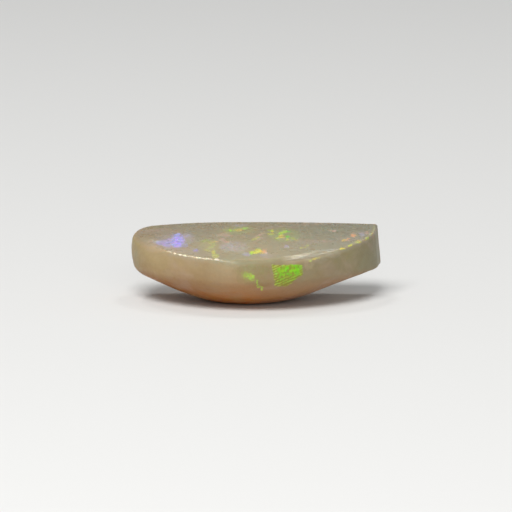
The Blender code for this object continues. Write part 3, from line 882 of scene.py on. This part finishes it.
class Opal(Painter):
    """Milky opal: a base colour that changes from top to belly and end to end, with painted shade and light
    in it, and play-of-colour over it.

    shift is how far the stone was moved from where its plan was worked out.
    """

    def __init__(self, shift):
        super().__init__("milky_opal")
        self.measure(shift)
        self.mask_soft_rim()
        base = self.body()
        self.divide()
        base = self.with_patches(base)
        base = self.with_flash(base)
        base = self.with_painted_rim_highlight(base)
        base = self.with_painted_light_and_tints(base)
        self.join(base, self.shader.inputs["Base Color"])
        self.finish_surface()

    def measure(self, shift):
        """Finds where a point lies, in millimetres, and which part of the stone it is on."""
        place = self.node("ShaderNodeTexCoord").outputs["Object"]
        enlarge = self.node("ShaderNodeVectorMath", operation="SCALE")
        self.join(place, enlarge.inputs[0])
        enlarge.inputs["Scale"].default_value = 1 / MM
        self.mm = enlarge.outputs[0]
        self.x, self.y, self.z = self.parts(self.vector("SUBTRACT", self.mm, shift))
        self.facing = self.parts(self.node("ShaderNodeNewGeometry").outputs["Normal"])[2]
        plane = self.calc("MULTIPLY_ADD", self.y, math.tan(math.radians(TOP_LEAN_DEG)), TOP_HEIGHT)
        self.depth = self.calc("SUBTRACT", plane, self.z)
        self.on_top = self.ramp(self.depth, TOP_EDGE_DEPTHS, (1.0, 0.0))
        self.in_front = self.ramp(self.y, FRONT_Y)
        self.behind = self.product(self.ramp(self.y, BACK_Y), self.calc("SUBTRACT", 1.0, self.on_top))
        self.seen = self.seen_from_front(self.mm)

    def seen_from_front(self, point):
        """A point's place across and up in the picture from the front."""
        rise = math.radians(CAMERA_ELEVATION_DEG)
        up = self.vector("DOT_PRODUCT", point, (0.0, math.sin(rise), math.cos(rise)), output=1)
        return self.triple(self.parts(point)[0], up)

    def mask_soft_rim(self):
        """Marks the soft stretch in the middle of the front rim."""
        self.soft_rim = self.product(
            self.ramp(self.x, SOFT_RIM_LEFT_X),
            self.ramp(self.x, SOFT_RIM_RIGHT_X),
            self.ramp(self.depth, SOFT_RIM_DEPTHS),
            self.ramp(self.y, SOFT_RIM_Y),
        )

    def divide(self):
        """Divides the opal into small domains, each with chances of its own."""
        noise_at_point = self.noise(self.mm, RAG_NOISE, output=1)
        self.rags = self.vector("SUBTRACT", noise_at_point, (0.5, 0.5, 0.5))
        torn = self.vector("ADD", self.mm, self.vector("MULTIPLY", self.rags, DOMAIN_RAGS))
        domains = self.node("ShaderNodeTexVoronoi", feature="F1")
        self.join(torn, domains.inputs["Vector"])
        domains.inputs["Scale"].default_value = DOMAIN_FINENESS
        chances = self.node("ShaderNodeSeparateColor")
        self.join(domains.outputs["Color"], chances.inputs[0])
        self.lively = self.ramp(chances.outputs[0], LIVELY_LIMITS, LIVELY_SHARES)
        self.dull_cells = self.ramp(chances.outputs[1], DULL_CELL_LIMITS, DULL_CELL_SHARES)
        self.hue = self.vector("ADD", self.vector("MULTIPLY", domains.outputs["Color"], HUE_SWING), HUE_LEAST)
        self.domain_seen = self.seen_from_front(domains.outputs["Position"])

    def torn_place(self, own_share, rags):
        """The place seen from the front, partly that of the whole domain, torn a little by noise."""
        domain_share = 1 - own_share
        own = self.vector("MULTIPLY", self.seen, (own_share, own_share, 0.0))
        domain = self.vector("MULTIPLY", self.domain_seen, (domain_share, domain_share, 0.0))
        return self.vector("ADD", self.vector("ADD", own, domain), self.vector("MULTIPLY", self.rags, rags))

    def fitted(self, place, middle, half, turn=0.0):
        """A place measured from a middle, in half sizes and turned."""
        fit = self.node("ShaderNodeMapping", vector_type="TEXTURE")
        self.join(place, fit.inputs["Vector"])
        fit.inputs["Location"].default_value = (*middle, 0.0)
        fit.inputs["Rotation"].default_value = (0.0, 0.0, math.radians(turn))
        fit.inputs["Scale"].default_value = (*half, 1.0)
        return fit.outputs[0]

    def mask_of(self, patch, place):
        """The strength of an oval patch: full in its middle and nothing past its edge."""
        half = (patch.half_across * PATCH_MARGIN, patch.half_up * PATCH_MARGIN)
        in_patch = self.fitted(place, (patch.across, patch.up), half, patch.turn)
        ball = self.node("ShaderNodeTexGradient", gradient_type="SPHERICAL")
        self.join(in_patch, ball.inputs["Vector"])
        return self.ramp(ball.outputs["Fac"], PATCH_FADE, (0.0, patch.strength))

    def body(self):
        """The milky body, from the top to the wall and the belly, with faint veils and a fine grain, painted
        shade on the belly and the soft rim, and painted light near the foot.
        """
        along = self.ramp(self.x, LENGTH_X, kind="LINEAR")
        further = self.ramp(self.y, TOP_SHADING_Y, TOP_SHADING)
        top = self.shaded(self.colours(along, TOP_COLOURS), further)
        base = self.mix(self.on_top, self.colours(along, WALL_COLOURS), top)
        # The belly: its own colour, with painted shade where the surface faces down
        base = self.mix(self.belly_shade_share(), base, self.colours(along, BELLY_COLOURS_AND_SHADE))
        veil = self.noise(self.vector("MULTIPLY", self.mm, VEIL_STRETCH), VEIL_NOISE)
        for limits, colour in VEILS:
            base = self.mix(self.ramp(veil, limits, (0.0, VEIL_STRENGTH)), base, colour)
        grain = self.ramp(self.noise(self.mm, GRAIN_NOISE), GRAIN_LIMITS, GRAIN_SHADES)
        # Painted light, lifting the colour near the foot against the floor's contact shadow
        foot_light = self.ramp(self.z, FOOT_PAINTED_LIGHT_HEIGHTS, FOOT_PAINTED_LIGHT)
        base = self.shaded(base, self.product(grain, foot_light))
        # Painted shade over the soft rim, strongest where the surface tilts between the top and the wall
        under_top = self.ramp(self.facing, SOFT_RIM_UNDER_TOP)
        tilted = self.product(under_top, self.ramp(self.facing, SOFT_RIM_OVER_WALL))
        tilted = self.calc("MULTIPLY_ADD", tilted, SOFT_RIM_TILTED_SHARE, 1 - SOFT_RIM_TILTED_SHARE)
        return self.mix(self.product(self.soft_rim, tilted), base, SOFT_RIM_PAINTED_SHADE, blend="MULTIPLY")

    def belly_shade_share(self):
        """How much a point takes the belly's colour and painted shade: what faces down, more so under an edge
        that rises to the ends.
        """
        wobble = self.calc("MULTIPLY_ADD", self.noise(self.mm, WOBBLE_NOISE), BELLY_WOBBLE, -BELLY_WOBBLE / 2)
        facing = self.ramp(self.calc("ADD", self.facing, wobble), BELLY_FACING, kind="LINEAR")
        off_middle = self.calc("SUBTRACT", self.x, BELLY_MIDDLE_X)
        over_edge = self.calc("MULTIPLY_ADD", self.product(off_middle, off_middle), -BELLY_EDGE_BOW, self.z)
        return self.product(facing, self.ramp(over_edge, BELLY_EDGE_HEIGHTS, BELLY_SHARES))

    def with_patches(self, base):
        """Lays on the patches of play-of-colour and the painted highlight near the top's right end, those of
        one colour together.
        """
        place = self.torn_place(PATCH_OWN_SHARE, PATCH_RAGS)
        sides = ((TOP_PATCHES_AND_HIGHLIGHTS, self.on_top), (WALL_PATCHES, self.in_front), (BACK_PATCHES, self.behind))
        for on_side, side in sides:
            side = self.product(side, self.lively)
            for colour in COLOURS_IN_ORDER:
                masks = [self.mask_of(patch, place) for patch in on_side if patch.colour == colour]
                if masks:
                    share = masks[0]
                    for mask in masks[1:]:
                        share = self.calc("MAXIMUM", share, mask)
                    varied = self.mix(1.0, colour, self.hue, blend="MULTIPLY")
                    base = self.mix(self.product(share, side), base, varied)
        return base

    def with_flash(self, base):
        """Lays on the large green flash."""
        place = self.fitted(self.torn_place(FLASH_OWN_SHARE, FLASH_RAGS), FLASH_MIDDLE, FLASH_HALF)
        across, up, _ = self.parts(place)
        below_bend = self.calc("MINIMUM", self.calc("SUBTRACT", up, FLASH_RIGHT_BEND), 0.0)
        right_side = self.calc("MULTIPLY_ADD", below_bend, FLASH_RIGHT_LEAN, 1.0)
        left_side = self.calc("MULTIPLY_ADD", up, FLASH_LEFT_LEAN, FLASH_LEFT_SIDE)
        inside = self.product(
            self.ramp(self.calc("SUBTRACT", right_side, across), FLASH_RIGHT_FADE),
            self.ramp(self.calc("SUBTRACT", across, left_side), FLASH_LEFT_FADE),
            self.ramp(up, FLASH_UPPER_FADE),
            self.ramp(up, FLASH_LOWER_FADE),
        )
        bright = self.ramp(self.calc("MULTIPLY_ADD", across, BRIGHT_LEAN, up), BRIGHT_FADE)
        fringe = self.flash_fringe(across, up)
        unbroken = self.product(self.ramp(bright, UNBROKEN_FADE), self.calc("SUBTRACT", 1.0, fringe))
        lit = self.product(self.calc("MAXIMUM", self.flash_lines(), unbroken), self.dull_cells)
        green = self.mix(bright, FLASH_DIM_GREEN, FLASH_BRIGHT_GREEN)
        green = self.mix(1.0, self.mix(fringe, green, FRINGE_COLOUR), self.hue, blend="MULTIPLY")
        green = self.mix(lit, FLASH_GAP_COLOUR, green)
        return self.mix(self.product(inside, self.in_front, FLASH_STRENGTH), base, green)

    def flash_fringe(self, across, up):
        """The olive fringe along the left, right and upper sides of the flash."""
        right = self.ramp(across, FRINGE_RIGHT, FRINGE_RIGHT_SHARES)
        upper = self.ramp(self.calc("MULTIPLY_ADD", across, FRINGE_UPPER_LEAN, up), FRINGE_UPPER)
        sides = self.calc("MAXIMUM", self.ramp(across, FRINGE_LEFT), right)
        return self.calc("MAXIMUM", sides, upper)

    def flash_lines(self):
        """Fine wavering lines that rise to the right."""
        across, up, _ = self.parts(self.seen)
        slanted = self.triple(across, self.calc("MULTIPLY_ADD", across, LINE_SLANT, up))
        lines = self.node("ShaderNodeTexWave", wave_type="BANDS", bands_direction="Y", wave_profile="SIN")
        self.join(slanted, lines.inputs["Vector"])
        for key, value in LINE_SETTINGS:
            lines.inputs[key].default_value = value
        return self.ramp(lines.outputs[1], LINE_FADE)

    def with_painted_rim_highlight(self, base):
        """Lays a painted highlight, a pale line, on the crisp rim, which follows the plan's superellipse."""
        reach_x, reach_y = RIM_FRONT[0] - RIM_LEFT[0], RIM_LEFT[1] - RIM_FRONT[1]
        shares = []
        for value, centre, reach in ((self.x, RIM_FRONT[0], reach_x), (self.y, RIM_LEFT[1], reach_y)):
            off_centre = self.calc("ABSOLUTE", self.calc("SUBTRACT", value, centre))
            shares.append(self.calc("POWER", self.calc("DIVIDE", off_centre, reach), FRONT_LEFT_POWER))
        radius = self.calc("POWER", self.calc("ADD", *shares), 1 / FRONT_LEFT_POWER)
        inward = self.calc("MULTIPLY_ADD", radius, -RIM_REACH, RIM_REACH)
        past_rim = self.calc("SUBTRACT", self.depth, inward)
        off_rim = self.calc("MAXIMUM", past_rim, self.calc("MULTIPLY", past_rim, -RIM_HIGHLIGHT_TOP_SHARE))
        thinning = self.ramp(self.x, RIM_HIGHLIGHT_THINNING_X, RIM_HIGHLIGHT_THINNING)
        uneven = self.calc("ADD", self.noise(self.mm, RIM_HIGHLIGHT_NOISE), thinning)
        width = self.ramp(uneven, RIM_HIGHLIGHT_NOISE_LIMITS, RIM_HIGHLIGHT_WIDTHS)
        # Painted highlight where the crisp rim catches the light
        rim_highlight = self.product(
            self.ramp(self.calc("SUBTRACT", off_rim, width), RIM_HIGHLIGHT_EDGE, (RIM_HIGHLIGHT_STRENGTH, 0.0)),
            self.ramp(self.x, RIM_HIGHLIGHT_LEFT_X),
            self.ramp(self.x, RIM_HIGHLIGHT_RIGHT_X),
            self.ramp(self.y, RIM_HIGHLIGHT_Y),
        )
        return self.mix(rim_highlight, base, RIM_HIGHLIGHT_COLOUR)

    def with_painted_light_and_tints(self, base):
        """Lays on the painted highlights of the rim's beads and the bevel, the painted shade under the bevel
        and the faint tints, all a little streaky.
        """
        streaks = self.noise(self.vector("MULTIPLY", self.mm, STREAK_STRETCH), STREAK_NOISE)
        streaks = self.product(self.ramp(streaks, STREAK_LIMITS, STREAK_SHARES), self.in_front)
        place = self.vector("ADD", self.seen, self.vector("MULTIPLY", self.rags, TINT_RAGS))
        for overlay in HIGHLIGHTS_SHADE_AND_TINTS:
            base = self.mix(self.product(self.mask_of(overlay, place), streaks), base, overlay.colour)
        return base

    def finish_surface(self):
        """The polish, which is best on the top, a faint relief, and the glow of light inside the stone."""
        roughness = self.calc("MULTIPLY_ADD", self.on_top, ROUGHNESS_OF_TOP, ROUGHNESS_BELOW)
        roughness = self.calc("MULTIPLY_ADD", self.soft_rim, ROUGHNESS_OF_SOFT_RIM, roughness)
        swing = self.noise(self.mm, ROUGHNESS_NOISE)
        roughness = self.calc("MULTIPLY_ADD", swing, ROUGHNESS_SWING, roughness)
        self.join(roughness, self.shader.inputs["Roughness"])
        flatter_top = self.calc("MULTIPLY_ADD", self.on_top, RELIEF_OF_TOP, 1.0)
        height = self.product(self.noise(self.mm, RELIEF_NOISE), flatter_top)
        relief = self.node("ShaderNodeBump")
        relief.inputs["Strength"].default_value = RELIEF_STRENGTH
        relief.inputs["Distance"].default_value = RELIEF_HEIGHT * MM
        self.join(height, relief.inputs["Height"])
        self.join(relief.outputs["Normal"], self.shader.inputs["Normal"])
        self.shader.inputs["IOR"].default_value = REFRACTION
        self.shader.inputs["Specular IOR Level"].default_value = SPECULAR_LEVEL
        self.shader.inputs["Subsurface Weight"].default_value = SCATTER_SHARE
        self.shader.inputs["Subsurface Radius"].default_value = SCATTER_COLOURS
        self.shader.inputs["Subsurface Scale"].default_value = SCATTER_DEPTH * MM


# The floor, in metres except for the gap, and the lights: name, place, size and power. Places and sizes are
# in millimetres

FLOOR_HALF = 3.0
FLOOR_GAP = 0.02
FLOOR_COLOUR = (0.74, 0.735, 0.72)
FLOOR_ROUGHNESS = 0.7
FLOOR_SPECULAR_LEVEL = 0.2
LIGHTS = (
    ("key", (-120, -320, 520), (380, 300), 3.5),
    ("front", (120, -560, 240), (300, 200), 0.6),
    ("back_left", (-125, 220, 440), (60, 60), 0.25),
    ("back_right", (112, 198, 450), (60, 60), 0.20),
)
LIGHTS_AIM = (0, 0, 4)
SURROUND_COLOUR = (0.81, 0.83, 0.84)
SURROUND_STRENGTH = 0.30


def make_stone():
    """The one piece: the stone's fine surface, in place of the solid."""
    rings = surface_rings()
    add_waves(rings)
    add_chips(rings)
    rings, shift = over_the_solid(rings)
    mesh = stone_mesh("opal_stone", rings)
    mesh.materials.append(Opal(shift).material)
    stone = bpy.data.objects.new("opal_stone", mesh)
    bpy.context.scene.collection.objects.link(stone)
    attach(stone, "root")
    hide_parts("opal")


def floor_material():
    """A plain pale matt colour."""
    painter = Painter("pale_floor")
    painter.shader.inputs["Base Color"].default_value = (*FLOOR_COLOUR, 1.0)
    painter.shader.inputs["Roughness"].default_value = FLOOR_ROUGHNESS
    painter.shader.inputs["Specular IOR Level"].default_value = FLOOR_SPECULAR_LEVEL
    return painter.material


def make_floor():
    """A plain pale floor, a hair under the stone."""
    mesh = bpy.data.meshes.new("floor")
    half = FLOOR_HALF
    corners = [(-half, -half, 0), (half, -half, 0), (half, half, 0), (-half, half, 0)]
    mesh.from_pydata(corners, [], [(0, 1, 2, 3)])
    mesh.materials.append(floor_material())
    floor = bpy.data.objects.new("floor", mesh)
    floor.location.z = -FLOOR_GAP * MM
    bpy.context.scene.collection.objects.link(floor)


def make_light(name, place, size, power):
    """A soft rectangular light that faces the stone. Places are in millimetres."""
    light = bpy.data.lights.new(name, "AREA")
    light.shape = "RECTANGLE"
    light.size, light.size_y = size[0] * MM, size[1] * MM
    light.energy = power
    lamp = bpy.data.objects.new(name, light)
    lamp.location = Vector(place) * MM
    lamp.rotation_euler = (Vector(LIGHTS_AIM) - Vector(place)).to_track_quat("-Z", "Y").to_euler()
    bpy.context.scene.collection.objects.link(lamp)


def make_lights():
    """The soft lights and an even, slightly dim surrounding."""
    for light in LIGHTS:
        make_light(*light)
    world = bpy.data.worlds.new("even")
    world.use_nodes = True
    world.node_tree.nodes["Background"].inputs["Color"].default_value = (*SURROUND_COLOUR, 1.0)
    world.node_tree.nodes["Background"].inputs["Strength"].default_value = SURROUND_STRENGTH
    bpy.context.scene.world = world
    bpy.context.scene.view_settings.view_transform = "Standard"


def make_camera():
    """A long lens from the front, a little above level."""
    data = bpy.data.cameras.new("camera")
    data.sensor_width = SENSOR_WIDTH
    data.lens = SENSOR_WIDTH * CAMERA_DISTANCE / PICTURE_WIDTH
    data.clip_start, data.clip_end = CLIP_RANGE
    camera = bpy.data.objects.new("camera", data)
    rise = math.radians(CAMERA_ELEVATION_DEG)
    back = Vector((0.0, -math.cos(rise), math.sin(rise)))
    camera.location = (Vector(AIM) + back * CAMERA_DISTANCE) * MM
    camera.rotation_euler = (-back).to_track_quat("-Z", "Y").to_euler()
    bpy.context.scene.collection.objects.link(camera)
    bpy.context.scene.camera = camera


make_camera()
make_lights()
make_floor()
make_stone()
